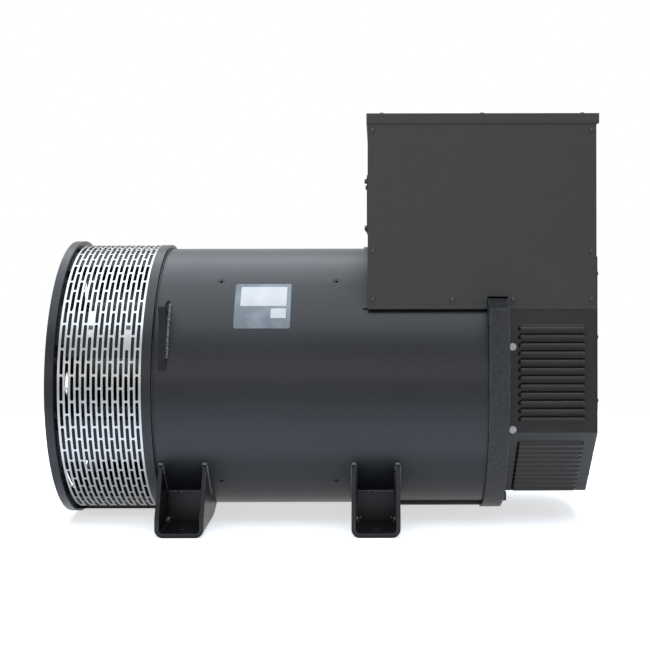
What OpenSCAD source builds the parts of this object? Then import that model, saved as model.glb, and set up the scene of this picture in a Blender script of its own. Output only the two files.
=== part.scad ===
// Brushless synchronous alternator head for a generating set: one bearing,
// an engine flange adaptor with a perforated air outlet screen, a welded
// barrel on four feet, a terminal box on top of the non-drive end and a
// louvred air inlet hood behind it.
// Frame: millimetres, +X from the engine end to the non-drive end, +Z up,
// origin on the shaft axis in the plane of the engine flange's face.

/* [Engine flange] */
// Height of the flange ring's rim above the barrel
flange_step = 16; // [14:0.5:20]
// Thickness of the flange ring
flange_t = 16; // [12:0.5:20]
// Step from the flange's rim down to the locating spigot
spigot_step = 20.41; // [18:0.01:24]
// How far the spigot stands out of the flange face
spigot_h = 4.8; // [3:0.1:7]
// Wall between the spigot and the open mouth that the drive discs pass
spigot_wall = 14.59; // [11:0.01:16]
// Distance of the flange holes' centres from the flange's rim
flange_hole_in = 10.8875; // [10:0.0005:12]
// Number of flange holes
flange_holes = 12; // [8:4:16]
// Diameter of the flange holes
flange_hole_d = 12; // [8:0.5:14]

/* [Adaptor] */
// Length of the adaptor from the flange face to the barrel
bell_len = 196; // [180:1:230]
// Height of the back ring above the barrel
band_step = 8; // [7:0.5:12]
// Width of the back ring
band_w = 18; // [12:1:30]
// Radial depth of the back ring
band_depth = 42; // [36:1:44]
// Number of webs between the two rings
web_n = 8; // [6:2:10]
// Angular width of a web in degrees
web_deg = 19; // [14:1:22]
// Radial depth of a web
web_depth = 18; // [12:1:19]
// Height of the solid bottom pad above the barrel
pad_step = 12; // [10:0.5:15]
// Half angle of the bottom pad in degrees
pad_half = 14; // [10:0.5:15]

/* [Air outlet screen] */
// Height of the rolled screen above the barrel
screen_step = 7; // [5:0.5:7.5]
// Sheet thickness of the screen
screen_t = 1.5; // [1:0.25:2.5]
// Gap between the flange ring and the screen
screen_gap = 6; // [2:0.5:10]
// Columns of slots along the axis
slot_cols = 15; // [8:1:15]
// Slots in one full turn
slot_rows = 34; // [30:2:36]
// Width of a slot
slot_w = 6.2; // [4:0.1:7]
// Bridge of sheet between the ends of two slots
slot_bridge = 3.44; // [3:0.01:8]
// Distance from the screen's edges to the middle of the first and last column
slot_edge = 7.37; // [6:0.01:10]
// Side of the square fixing heads on the screen
fix_sq = 8; // [6:0.5:9]

/* [Barrel] */
// Outer radius of the barrel
barrel_r = 260; // [256:0.5:262]
// Wall thickness of the barrel
barrel_t = 6; // [4:0.5:8]
// Length of the barrel
barrel_len = 632; // [600:1:680]
// Length of the machined ring inside each end of the barrel
end_ring_w = 18; // [14:1:24]
// Radial depth of the machined end rings inside the barrel
end_ring_depth = 19; // [16:0.5:24]
// Number of bars that hold the core inside the barrel
bar_n = 8; // [6:1:10]
// Width of a core bar
bar_w = 24; // [16:1:30]
// Thickness of the belly plate under the barrel
belly_t = 6; // [4:0.5:8]
// Half angle of the belly plate in degrees
belly_half = 17; // [12:1:22]

/* [Feet] */
// Gap between the barrel and the plane that the feet stand on
foot_gap = 20; // [17:0.5:40]
// Distance between the foot holes along the shaft
foot_pitch_x = 368; // [360:1:380]
// Distance of a foot hole from the foot's outer edge
foot_hole_in = 33.5; // [30:0.5:38]
// Distance from the flange face to the first foot holes
foot_x = 248; // [247:1:255]
// Width of a foot bracket along the shaft
foot_w = 92; // [80:1:98]
// Plate thickness of a foot bracket
foot_t = 8; // [6:0.5:10]
// Outer bend radius of a foot bracket
foot_bend = 16; // [11:0.5:20]
// How far a foot reaches out past the barrel's side
foot_over = 2; // [-4:0.5:8]
// Depth of a foot from its outer edge to its rear plate
foot_depth = 120; // [112:1:132]
// Diameter of the foot holes
foot_hole_d = 18; // [14:0.5:24]

/* [Lifting lugs] */
// Thickness of the drive end lugs
lug_t = 13; // [10:0.5:16]
// Distance of the drive end lugs from the back ring
lug_gap = 14; // [8:1:20]
// How far a lug reaches out past the barrel's side
lug_over = 2; // [0:0.5:8]
// Height of the top of the lugs
lug_top = 162; // [156:1:166]
// Radius of the lifting eye in the drive end lugs
lug_eye_r = 10; // [8:0.5:11]

/* [Non-drive end bracket] */
// Thickness of the bracket's rim
nde_t = 38; // [34:1:44]
// Height of the bracket's rim above the barrel
nde_step = 9; // [6:0.5:12]
// Radial depth of the bracket's rim
nde_depth = 33; // [29:1:39]
// Number of arms between the rim and the bearing housing
arm_n = 6; // [4:1:8]
// Width of an arm
arm_w = 42; // [30:1:56]
// Thickness of an arm
arm_t = 26; // [20:1:30]
// Outer radius of the bearing housing
house_r = 108; // [104:1:116]
// Radius of the lifting eye in the bracket
nde_eye_r = 12; // [9:0.5:13]
// Angle of the bracket's bolts from the vertical
nde_bolt_angle = 19; // [16:0.5:30]
// Depth of the circle of the bracket's bolts below the barrel's surface
nde_bolt_in = 10; // [9:0.5:12]

/* [Rotor] */
// Radius of the rotor over its poles
rotor_r = 163.3; // [160:0.1:164]
// Air gap between rotor and stator
air_gap = 1.7; // [1:0.1:3]
// Length of the cores
core_len = 390; // [360:1:400]
// Distance from the flange face to the cores
core_x = 300; // [296:1:306]
// Radius of the shaft through the core
shaft_r = 66; // [60:0.5:70]
// Half width of a pole's body
pole_half = 60; // [54:0.5:64]
// Half width of a pole shoe
shoe_half = 95; // [90:0.5:98]
// Radius at which a pole shoe starts
shoe_in = 128; // [126:0.5:130]
// Thickness of a field coil's side
coil_t = 27; // [20:0.5:28]
// How far the field coils stand out of the core's ends
coil_over = 32; // [20:1:36]
// How far the stator windings stand out of the core's ends
wind_over = 64; // [50:1:64]

/* [Coupling and fan] */
// Gap around the drive discs in the mouth
disc_gap = 7.64; // [7:0.01:20]
// Thickness of the stack of drive discs
disc_t = 5.5; // [4:0.5:8]
// Distance of the drive discs behind the flange face
disc_set = 14; // [13:0.5:16]
// Distance of the drive disc holes' centres from the discs' rim
disc_hole_in = 14.285; // [12:0.005:18]
// Diameter of the drive disc holes
disc_hole_d = 13.5; // [10:0.5:14]
// Radius of the coupling hub's flange
hub_r = 114; // [112:1:118]
// Gap between the fan and the mouth's radius
fan_gap = 20; // [18:0.5:30]
// Number of fan blades
blade_n = 13; // [9:1:16]
// Thickness of a fan blade
blade_t = 4; // [3:0.5:6]
// Length of the fan blades along the shaft
blade_l = 98; // [80:1:100]

/* [Bearing and exciter] */
// Radius of the bearing's bore
brg_in = 40; // [38:0.5:42]
// Outer radius of the bearing
brg_out = 85; // [84:0.5:88]
// Width of the bearing
brg_w = 39; // [37:0.5:40]
// Number of balls in the bearing
ball_n = 8; // [6:1:9]
// Radius of a ball
ball_r = 14; // [12:0.5:14.5]
// Outer radius of the exciter stator
exc_r = 140; // [136:1:150]
// Number of exciter poles
exc_poles = 12; // [8:2:14]
// Radius of the exciter armature
exc_arm_r = 95.5; // [90:0.5:96]

/* [Terminal box] */
// Distance from the flange face to the box
box_x = 601; // [596:1:606]
// Length of the box along the shaft
box_len = 434; // [430:1:444]
// Half width of the box over its side panels
box_half = 224; // [223:0.5:226]
// Height of the top of the lid above the shaft axis
box_top = 516.4; // [500:0.1:540]
// Height of the side panels' bottom edge above the shaft axis
box_bot = 145.4; // [145:0.1:150]
// Sheet thickness of the box
sheet = 2; // [1.5:0.25:2.5]
// Depth of the lid's skirt
lid_skirt = 19; // [14:0.5:26]
// Overhang of the lid at the rear
lid_over = 5; // [4.5:0.5:8]
// Head radius of the panel screws
screw_r = 4.6; // [3.5:0.1:6]

/* [Air inlet hood] */
// Height below the shaft axis at which the hood's sides fold inwards
fold_z = 90; // [86:1:94]
// Depth of the hood's floor below the shaft axis
hood_z = 226; // [222:1:230]
// Half width of the hood's floor
hood_floor = 80; // [70:1:90]
// Number of louvres in a side
side_louvres = 12; // [8:1:12]
// Distance between two louvres in a side
side_pitch = 15.64; // [15:0.02:15.8]
// Height of the highest louvre's centre line
side_first = 109.6; // [106:0.1:112]
// Number of louvres in a sloping panel
slope_louvres = 11; // [8:1:11]
// Distance between two louvres in a sloping panel
slope_pitch = 14.96; // [14:0.02:15.1]
// Length of a louvre
louvre_l = 129; // [110:1:134]
// Height of a louvre
louvre_h = 10.5; // [8:0.1:11]
// How far a louvre stands out
louvre_out = 6; // [4:0.5:7]

/* [Hidden] */

// Clearances
seat = 0.3;      // between pieces that rest on each other on round faces
slip = 0.05;     // radial clearance of a fitted bore
run_gap = 0.4;   // between pieces assembled side by side
// Radii, all counted from the barrel's outer radius
flange_r = barrel_r + flange_step;
spigot_r = flange_r - spigot_step;
mouth_r = spigot_r - spigot_wall;
flange_hole_r = flange_r - flange_hole_in;
band_r = barrel_r + band_step;
band_in_r = band_r - band_depth;
pad_r = barrel_r + pad_step;
screen_r = barrel_r + screen_step;
end_ring_r = barrel_r - barrel_t - end_ring_depth;
nde_r = barrel_r + nde_step;
nde_in_r = nde_r - nde_depth;
nde_bolt_r = barrel_r - nde_bolt_in;
disc_r = mouth_r - disc_gap;
disc_hole_r = disc_r - disc_hole_in;
fan_r = mouth_r - fan_gap;
// Feet and lugs
foot_h = barrel_r + foot_gap;
foot_out = barrel_r + foot_over;
foot_hole_y = foot_out - foot_hole_in;
foot_back = foot_out - foot_depth;
lug_out = barrel_r + lug_over;
// Shared positions along the shaft
bell_x1 = bell_len;
barrel_x1 = bell_len + barrel_len;
nde_x1 = barrel_x1 + nde_t;
core_x1 = core_x + core_len;
box_x1 = box_x + box_len;
screen_x0 = flange_t + screen_gap;
screen_x1 = bell_len - band_w;
slot_pitch = (screen_x1 - screen_x0 - 2 * slot_edge) / (slot_cols - 1);
slot_l = 2 * PI * screen_r / slot_rows - slot_bridge;
// Bearing seat inside the housing
brg_x0 = barrel_x1 + 1;
brg_x1 = brg_x0 + brg_w;
house_x0 = barrel_x1 - 6;
house_x1 = brg_x1 + 8;
pitch_r = (brg_in + brg_out) / 2;
// Couplings
disc_x1 = disc_set + disc_t;
hub_x1 = disc_x1 + 42.5;
fan_x0 = hub_x1;
fan_plate = 5;
blade_x0 = fan_x0 + fan_plate;
clamp_t = 6;
// Box heights
lid_z0 = box_top - sheet;
gasket_t = 2.4;
rim_z = lid_z0 - gasket_t;
wall_half = box_half - sheet - 0.2;
hood_half = box_half - sheet;
hood_x0 = nde_x1 + run_gap;
slope = atan2(hood_z - fold_z, hood_half - hood_floor);
post = 25;
lid_screw_end = 26;
cover_screw_in = 10;
slope_screw = 96;
gland_half = wall_half - 71.8;
gland_h = 114;
stand_half = 112;
floor_z = box_bot + 2.4;
// Panel screws: distance from the panel's ends and edges
screw_in = 9.5;
screw_low = box_bot + 18.6;
screw_mid = box_bot + 110;
screw_high = box_top - 31.4;

// ---- helpers -------------------------------------------------------------

// Ring or disc around the shaft axis
module ring(ro, ri, x0, x1, fn = 120) {
  rotate([0, 90, 0]) translate([0, 0, x0]) difference() {
    cylinder(r = ro, h = x1 - x0, $fn = fn);
    if (ri > 0) translate([0, 0, -1]) cylinder(r = ri, h = x1 - x0 + 2, $fn = fn);
  }
}

// Part of a ring, from angle a0 to a1 counted from straight down
module arc_ring(ro, ri, x0, x1, a0, a1, fn = 120) {
  rotate([0, 90, 0]) translate([0, 0, x0])
    rotate_extrude(angle = a1 - a0, start = a0, $fn = fn)
      translate([ri, 0]) square([ro - ri, x1 - x0]);
}

// Rod along the shaft direction at radius r and angle a from the top
module rod_at(r, a, rad, x0, x1, fn = 24) {
  rotate([a, 0, 0]) translate([x0, 0, r]) rotate([0, 90, 0]) cylinder(r = rad, h = x1 - x0, $fn = fn);
}

// Plate normal to the shaft, drawn in across and up
module plate(x0, x1) {
  translate([x0, 0, 0]) rotate([90, 0, 90]) linear_extrude(x1 - x0) children();
}

// Hexagon bolt along the shaft: head towards dir, under-head face at x0
module hex_bolt(r, a, x0, d, len, dir = 1) {
  head = d * 0.625;
  rotate([a, 0, 0]) translate([x0, 0, r]) mirror([dir < 0 ? 1 : 0, 0, 0]) rotate([0, 90, 0]) {
    cylinder(r = d * 0.92, h = head, $fn = 6);
    translate([0, 0, -len]) cylinder(r = d / 2, h = len, $fn = 24);
  }
}

// Domed panel screw at the origin, head towards +Z
module panel_screw(r = screw_r, shank = 5) {
  rotate_extrude($fn = 24)
    polygon([[0, 0], [r, 0], [r, 1.2], [r * 0.75, 2.6], [r * 0.4, 3], [0, 3]]);
  translate([0, 0, -shank]) cylinder(r = 2, h = shank, $fn = 16);
}

// ---- engine adaptor ------------------------------------------------------

// Angle of web or window k, counted from straight down
function web_a(k) = 180 / web_n + k * 360 / web_n;

// Holes for the engine's flange bolts
module flange_holes_cut() {
  for (k = [0 : flange_holes - 1])
    rod_at(flange_hole_r, (k + 0.5) * 360 / flange_holes, flange_hole_d / 2, -1, flange_t + 1);
}

// Room for the heads of the flange bolts, open through the foot of a web
module bolt_heads_cut() {
  for (k = [0 : flange_holes - 1])
    rod_at(flange_hole_r, (k + 0.5) * 360 / flange_holes, flange_hole_d, flange_t - 1, flange_t + 16);
}

module adaptor_flange() {
  color([0.13, 0.135, 0.15])
  difference() {
    union() {
      ring(flange_r, mouth_r, 0, flange_t, 180);
      ring(spigot_r, mouth_r, -spigot_h, 1, 180);
    }
    flange_holes_cut();
  }
}

module adaptor_webs() {
  web_ro = screen_r - screen_t - seat;
  web_x1 = bell_len - band_w;
  color([0.13, 0.135, 0.15])
  difference() {
    union() {
      for (k = [0 : web_n - 1]) {
        arc_ring(web_ro, web_ro - web_depth, flange_t, web_x1,
                 web_a(k) - web_deg / 2, web_a(k) + web_deg / 2);
        // foot of the web on the flange ring
        arc_ring(web_ro, web_ro - web_depth, flange_t, flange_t + 5,
                 web_a(k) - web_deg / 2 - 3, web_a(k) + web_deg / 2 + 3);
      }
      arc_ring(pad_r, pad_r - 14, flange_t, web_x1, -pad_half + 0.1, pad_half - 0.1);
    }
    bolt_heads_cut();
    fixing_places() translate([0, 0, -14]) cylinder(r = 3.2, h = 20, $fn = 20);
  }
}

module adaptor_ring() {
  color([0.13, 0.135, 0.15])
  difference() {
    ring(band_r, band_in_r, bell_len - band_w, bell_len, 180);
    adaptor_bolt_places() translate([bell_len - band_w - 20, 0, 0]) rotate([0, 90, 0])
      cylinder(r = 6.6, h = 60, $fn = 24);
  }
}

// Bolts in the windows, through the back ring into the barrel's end ring
module adaptor_bolt_places() {
  for (k = [0 : web_n - 1]) rotate([k * 360 / web_n, 0, 0])
    translate([0, 0, (end_ring_r + barrel_r - barrel_t) / 2]) children();
}

module adaptor_bolts() {
  color([0.55, 0.56, 0.58])
  for (k = [0 : web_n - 1])
    hex_bolt((end_ring_r + barrel_r - barrel_t) / 2, k * 360 / web_n, bell_len - band_w, 12, 30, -1);
}

// ---- air outlet screen ---------------------------------------------------

slot_step = 360 / slot_rows;
fix_angle = 24.9;
fix_cols = [round(slot_cols * 0.35), round(slot_cols * 0.8)];
function col_x(i) = screen_x0 + slot_edge + i * slot_pitch;
// Angle above the level of the shaft on the front side of slot k in column i
function slot_a(i, k) = (k + (i % 2) * 0.5) * slot_step;
// Smallest turn between two directions
function turn(a, b) = abs(((a - b) % 360 + 540) % 360 - 180);
// A slot is left out over the pad and where a fixing sits
function has_slot(i, k) =
  turn(slot_a(i, k), -90) > pad_half + slot_step * 0.56
  && !(len([for (c = fix_cols) if (c == i) c]) > 0
       && (turn(slot_a(i, k), fix_angle) < slot_step * 0.5
           || turn(slot_a(i, k), 180 - fix_angle) < slot_step * 0.5));

// Slot with round ends, square to the sheet
module slot_tool() {
  translate([0, 0, -4]) linear_extrude(8) {
    square([slot_w, slot_l - slot_w], center = true);
    for (s = [-1, 1]) translate([0, s * (slot_l - slot_w) / 2]) circle(d = slot_w, $fn = 16);
  }
}

// Fixing places on both sides of the screen, +Z pointing outwards
module fixing_places() {
  for (side = [0, 1], c = fix_cols)
    rotate([side == 0 ? 90 - fix_angle : fix_angle - 90, 0, 0])
      translate([col_x(c), 0, screen_r]) children();
}

module air_screen() {
  color([0.82, 0.83, 0.85])
  difference() {
    arc_ring(screen_r, screen_r - screen_t, screen_x0, screen_x1,
             pad_half, 360 - pad_half, 180);
    for (i = [0 : slot_cols - 1], k = [0 : slot_rows - 1])
      if (has_slot(i, k))
        rotate([90 - slot_a(i, k), 0, 0]) translate([col_x(i), 0, screen_r - screen_t / 2]) slot_tool();
    fixing_places() cube([fix_sq + 0.4, fix_sq + 0.4, 8], center = true);
  }
}

module screen_fixings() {
  color([0.1, 0.1, 0.11])
  fixing_places() {
    translate([-fix_sq / 2, -fix_sq / 2, -screen_t]) cube([fix_sq, fix_sq, screen_t + 0.6]);
    translate([0, 0, -12]) cylinder(r = 3, h = 11, $fn = 20);
  }
}

// ---- barrel --------------------------------------------------------------

module barrel_envelope(gap = 0.6) {
  ring(barrel_r + gap, 0, bell_len, barrel_x1);
}

module barrel() {
  in_r = barrel_r - barrel_t;
  color([0.12, 0.125, 0.14])
  difference() {
    union() {
      ring(barrel_r, in_r, bell_len, barrel_x1, 180);
      ring(in_r + 1, end_ring_r, bell_len, bell_len + end_ring_w);
      ring(in_r + 1, end_ring_r, barrel_x1 - end_ring_w, barrel_x1);
      for (k = [0 : bar_n - 1]) rotate([(k + 0.5) * 360 / bar_n, 0, 0])
        translate([core_x - 20, -bar_w / 2, core_r + slip]) cube([core_len + 40, bar_w, in_r - core_r]);
    }
    ring(core_r + slip, 0, core_x - 21, core_x1 + 21);
    adaptor_bolt_places() translate([bell_len - 1, 0, 0]) rotate([0, 90, 0])
      cylinder(r = 6.6, h = 40, $fn = 24);
    for (a = bracket_bolt_a) rod_at(nde_bolt_r, a, 5.8, barrel_x1 - 60, barrel_x1 + 1);
    // lead opening under the terminal box
    translate([core_x1 + 12, -70, barrel_r - barrel_t - 30]) cube([90, 140, 60]);
    core_screw_places() translate([0, 0, -12]) cylinder(r = 6.4, h = 20, $fn = 24);
  }
}
core_r = barrel_r - barrel_t - 13.5;

module belly_plate() {
  color([0.11, 0.11, 0.12])
  arc_ring(barrel_r + seat + belly_t - 0.3, barrel_r + seat, foot_x + foot_pitch_x + foot_w / 2 + run_gap,
           barrel_x1 - run_gap, -belly_half, belly_half);
}

// Screws that hold the core, +Z outwards, on the front and back
module core_screw_places() {
  for (x = [core_x + 17.5, core_x1 - 150], a = [-46, 49], side = [0, 1])
    rotate([side == 0 ? 90 - a : a - 90, 0, 0]) translate([x, 0, barrel_r]) children();
}

module core_screws() {
  color([0.16, 0.16, 0.18])
  core_screw_places() {
    translate([0, 0, -9]) difference() {
      cylinder(r = 6.2, h = 8.6, $fn = 24);
      translate([0, 0, 5]) cylinder(r = 3.4, h = 6, $fn = 6);
    }
  }
}

// ---- feet ----------------------------------------------------------------

// Bent channel: two legs and a floor, drawn along the shaft and up
module foot_channel() {
  h = foot_h - 120;
  difference() {
    union() {
      translate([-foot_w / 2, foot_bend]) square([foot_w, h - foot_bend]);
      translate([-foot_w / 2 + foot_bend, 0]) square([foot_w - 2 * foot_bend, h]);
      for (s = [-1, 1]) translate([s * (foot_w / 2 - foot_bend), foot_bend])
        circle(r = foot_bend, $fn = 48);
    }
    translate([-foot_w / 2 + foot_t, foot_bend]) square([foot_w - 2 * foot_t, h]);
    translate([-foot_w / 2 + foot_bend, foot_t]) square([foot_w - 2 * foot_bend, h]);
    for (s = [-1, 1]) translate([s * (foot_w / 2 - foot_bend), foot_bend])
      circle(r = foot_bend - foot_t, $fn = 48);
  }
}

// One bracket at x, side -1 is the front
module foot_bracket(x, side) {
  mirror([0, side < 0 ? 0 : 1, 0])
  difference() {
    intersection() {
      translate([x, -barrel_r * 0.2, -foot_h]) rotate([90, 0, 0])
        linear_extrude(foot_out) foot_channel();
      plate(x - foot_w / 2 - 1, x + foot_w / 2 + 1)
        polygon([[-foot_out, -foot_h - 1], [-foot_out, -foot_h + 35],
                 [-foot_out + 49, -foot_h + 128], [-foot_out + 60, -foot_h + 132],
                 [-55, -barrel_r + 22], [-61, -barrel_r + 5.5], [-foot_back, -foot_h - 1]]);
    }
    ring(barrel_r + seat, 0, x - foot_w, x + foot_w, 180);
    translate([x, -foot_hole_y, -foot_h - 1])
      cylinder(r = foot_hole_d / 2, h = foot_t + 2, $fn = 32);
  }
}

module feet_drive_end() {
  color([0.1, 0.1, 0.11]) for (s = [-1, 1]) foot_bracket(foot_x, s);
}

module feet_rear() {
  color([0.1, 0.1, 0.11]) for (s = [-1, 1]) foot_bracket(foot_x + foot_pitch_x, s);
}

module foot_gussets() {
  g = foot_w / 2 - foot_t - 0.2;
  color([0.1, 0.1, 0.11])
  for (x = [foot_x, foot_x + foot_pitch_x], s = [0, 1]) mirror([0, s, 0])
    difference() {
      translate([x - g, -foot_back - foot_t, -foot_h + foot_t]) intersection() {
        cube([2 * g, foot_t, 100]);
        union() {
          translate([foot_bend - foot_t, -1, 0]) cube([2 * g - 2 * (foot_bend - foot_t), foot_t + 2, 100]);
          translate([0, -1, foot_bend - foot_t]) cube([2 * g, foot_t + 2, 100]);
        }
      }
      ring(barrel_r + seat, 0, x - foot_w, x + foot_w, 180);
    }
}

// ---- lifting lugs --------------------------------------------------------

lug_x = bell_len + lug_gap;
// The eyes of the lugs and of the bracket lie in line
eye_in = 19;
eye_down = 24;
module lifting_lugs() {
  color([0.11, 0.115, 0.13])
  for (s = [0, 1]) mirror([0, s, 0]) difference() {
    plate(lug_x, lug_x + lug_t)
      polygon([[-lug_out, lug_top - 126], [-lug_out, lug_top - 10], [-lug_out + 9, lug_top - 1],
               [-lug_out + 16, lug_top], [-barrel_r + 66, lug_top], [-barrel_r + 20, lug_top - 140]]);
    ring(barrel_r + seat, 0, lug_x - 1, lug_x + lug_t + 1, 180);
    lug_eye() cylinder(r = lug_eye_r, h = lug_t + 4, $fn = 32);
  }
}
module lug_eye() {
  translate([lug_x - 2, -lug_out + eye_in, lug_top - eye_down]) rotate([0, 90, 0]) children();
}

// ---- stator --------------------------------------------------------------

bore_r = rotor_r + air_gap;
module stator_core() {
  color([0.35, 0.34, 0.33])
  difference() {
    ring(core_r, bore_r, core_x, core_x1, 180);
    // vent grooves between packets of sheets
    for (k = [1 : 3]) ring(core_r + 2, core_r - 6, core_x + k * core_len / 4 - 3, core_x + k * core_len / 4 + 3);
  }
}

module stator_winding() {
  mid = (bore_r + core_r) / 2 + 4;
  half = 27;
  color([0.5, 0.2, 0.1])
  for (s = [0, 1]) translate([core_x + s * core_len, 0, 0]) mirror([s == 0 ? 1 : 0, 0, 0])
    rotate([0, 90, 0]) rotate_extrude($fn = 120) {
      translate([mid - half, 0]) square([2 * half, wind_over - 14]);
      translate([mid - half + 14, 0]) square([2 * half - 28, wind_over]);
      for (e = [-1, 1]) translate([mid + e * (half - 14), wind_over - 14]) circle(r = 14, $fn = 32);
    }
}

// ---- non-drive end bracket and bearing -----------------------------------

module nde_bracket() {
  color([0.13, 0.135, 0.145])
  difference() {
    union() {
      plate(barrel_x1, nde_x1) difference() {
        union() {
          circle(r = nde_r, $fn = 180);
          for (s = [-1, 1])
            polygon([[s * nde_r, 0], [s * (nde_r + 0.5), lug_top - 14], [s * (box_half + 22), lug_top - 5],
                     [s * (box_half + 0.6), lug_top + 3], [s * (box_half + 0.6), lug_top - 16],
                     [s * (nde_r - 40), lug_top - 18], [s * (nde_r - 30), 0]]);
        }
        circle(r = nde_in_r, $fn = 180);
      }
      for (k = [0 : arm_n - 1]) rotate([(k + 0.5) * 360 / arm_n, 0, 0])
        translate([nde_x1 - arm_t, -arm_w / 2, house_r - 6]) cube([arm_t, arm_w, nde_in_r - house_r + 12]);
      ring(house_r, brg_out + slip, house_x0, house_x1);
      // ears for the hood's side bolts
      for (s = [0, 1], z = hood_bolt_z) mirror([0, s, 0]) {
        translate([nde_x1 - 16, -nde_in_r + 4, z - 12]) cube([16, nde_in_r - ear_in - 4, 24]);
        // their outer corners follow the folded side of the hood
        intersection() {
          translate([nde_x1 - 16, -hood_half + sheet + seat, z - 12])
            cube([hood_bolt_x + 29, hood_half - sheet - seat - ear_in, 24]);
          plate(nde_x1 - 17, nde_x1 + hood_bolt_x + 20) hood_inside(sheet + seat);
        }
      }
    }
    ring(brg_out + slip, 0, house_x0 - 1, house_x1 + 1);
    for (a = bracket_bolt_a) rod_at(nde_bolt_r, a, 5.8, barrel_x1 - 1, nde_x1 + 1);
    hood_bolt_places() translate([0, 0, -24]) cylinder(r = 4.6, h = 30, $fn = 24);
    for (k = [0 : 3]) rod_at(cap_pr, 45 + k * 90, 4.5, house_x0 - 1, house_x1 + 1);
    for (k = [0 : 5]) rod_at(exc_bolt_r, k * 60 + 30, 4.5, nde_x1 - 20, nde_x1 + 1);
    nde_eye() cylinder(r = nde_eye_r, h = nde_t + 4, $fn = 32);
    mirror([0, 1, 0]) nde_eye() cylinder(r = nde_eye_r, h = nde_t + 4, $fn = 32);
  }
}
module nde_eye() {
  translate([barrel_x1 - 2, -lug_out + eye_in, lug_top - eye_down]) rotate([0, 90, 0]) children();
}
cap_pr = (brg_out + house_r) / 2;
exc_bolt_r = (exc_r + 118) / 2;

// Angles of the bracket's bolts, two above and two below, counted from the top
bracket_bolt_a = [for (b = [0, 180], s = [-1, 1]) b + s * nde_bolt_angle];
// Heights of the hood's side bolts, their distance behind the bracket, and the ears that hold them
hood_bolt_z = [73.7, -83.5];
hood_bolt_x = 9.5;
ear_in = 204;

// Bolts through the bracket into the barrel, each with a washer
module bracket_bolts() {
  color([0.12, 0.12, 0.13])
  for (a = bracket_bolt_a) {
    rod_at(nde_bolt_r, a, 10, nde_x1, nde_x1 + 2);
    rod_at(nde_bolt_r, a, 9.8, nde_x1 + 2, nde_x1 + 11, 6);
    rod_at(nde_bolt_r, a, 5, barrel_x1 - 40, nde_x1 + 3);
  }
}

module bearing_cap_in() {
  color([0.16, 0.16, 0.18])
  difference() {
    union() {
      ring(house_r - 2, 0, house_x0 - 8, house_x0);
      ring(brg_out - 0.1, 0, house_x0, brg_x0);
    }
    ring(53, 0, house_x0 - 9, brg_x0 + 1);
    ring(brg_out - 10, 0, house_x0 - 2, brg_x0 + 1);
    for (k = [0 : 3]) rod_at(cap_pr, 45 + k * 90, 4, house_x0 - 9, house_x0 + 1);
  }
}

module bearing_cap_out() {
  color([0.16, 0.16, 0.18])
  difference() {
    union() {
      ring(house_r - 2, 0, house_x1, house_x1 + 8);
      ring(brg_out - 0.1, 0, brg_x1, house_x1);
    }
    ring(brg_in - 2.5, 0, brg_x1 - 1, house_x1 + 9);
    ring(brg_out - 10, 0, brg_x1 - 1, house_x1 + 2);
    for (k = [0 : 3]) rod_at(cap_pr, 45 + k * 90, 4.5, house_x1 - 1, house_x1 + 9);
  }
}

module cap_bolts() {
  color([0.5, 0.5, 0.52])
  for (k = [0 : 3])
    hex_bolt(cap_pr, 45 + k * 90, house_x1 + 8, 8, house_x1 - house_x0 + 15);
}

groove = 3.2;
module bearing_outer() {
  color([0.72, 0.73, 0.75])
  difference() {
    ring(brg_out, pitch_r + ball_r - groove, brg_x0, brg_x1);
    race_groove();
  }
}
module race_groove() {
  translate([(brg_x0 + brg_x1) / 2, 0, 0]) rotate([0, 90, 0])
    rotate_extrude($fn = 96) translate([pitch_r, 0]) circle(r = ball_r + seat, $fn = 32);
}
module bearing_inner() {
  color([0.72, 0.73, 0.75])
  difference() {
    ring(pitch_r - ball_r + groove, brg_in + slip, brg_x0, brg_x1);
    race_groove();
  }
}
module bearing_balls() {
  color([0.8, 0.8, 0.82])
  for (k = [0 : ball_n - 1]) rotate([k * 360 / ball_n, 0, 0])
    translate([(brg_x0 + brg_x1) / 2, 0, pitch_r]) sphere(r = ball_r, $fn = 32);
}
module bearing_cage() {
  color([0.7, 0.55, 0.25])
  difference() {
    ring(pitch_r + 4, pitch_r - 4, brg_x0 + 2.5, brg_x1 - 2.5);
    for (k = [0 : ball_n - 1]) rotate([k * 360 / ball_n, 0, 0])
      translate([(brg_x0 + brg_x1) / 2, 0, pitch_r]) {
        sphere(r = ball_r + seat, $fn = 32);
      }
  }
}

// ---- exciter -------------------------------------------------------------

exc_x0 = nde_x1;
exc_x1 = nde_x1 + 76;
module exciter_stator() {
  color([0.3, 0.3, 0.31])
  difference() {
    union() {
      ring(exc_r, 120, exc_x0, exc_x1);
      for (k = [0 : exc_poles - 1]) rotate([k * 360 / exc_poles, 0, 0])
        translate([exc_x0 + 30, -9, exc_arm_r + 1]) cube([40, 18, 25]);
    }
    ring(exc_arm_r + 1.5, 0, exc_x0 - 1, exc_x1 + 1);
    for (k = [0 : 5]) rod_at(exc_bolt_r, k * 60 + 30, 4.5, exc_x0 - 1, exc_x1 + 1);
  }
}
module exciter_coils() {
  color([0.45, 0.2, 0.1])
  for (k = [0 : exc_poles - 1]) rotate([k * 360 / exc_poles, 0, 0])
    difference() {
      translate([exc_x0 + 25.5, -13.5, exc_arm_r + 6]) cube([49, 27, 15]);
      translate([exc_x0 + 29.8, -9.2, exc_arm_r]) cube([40.4, 18.4, 30]);
    }
}
module exciter_bolts() {
  color([0.5, 0.5, 0.52])
  for (k = [0 : 5]) hex_bolt(exc_bolt_r, k * 60 + 30, exc_x1, 8, exc_x1 - exc_x0 + 16);
}

// ---- terminal box --------------------------------------------------------

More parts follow.
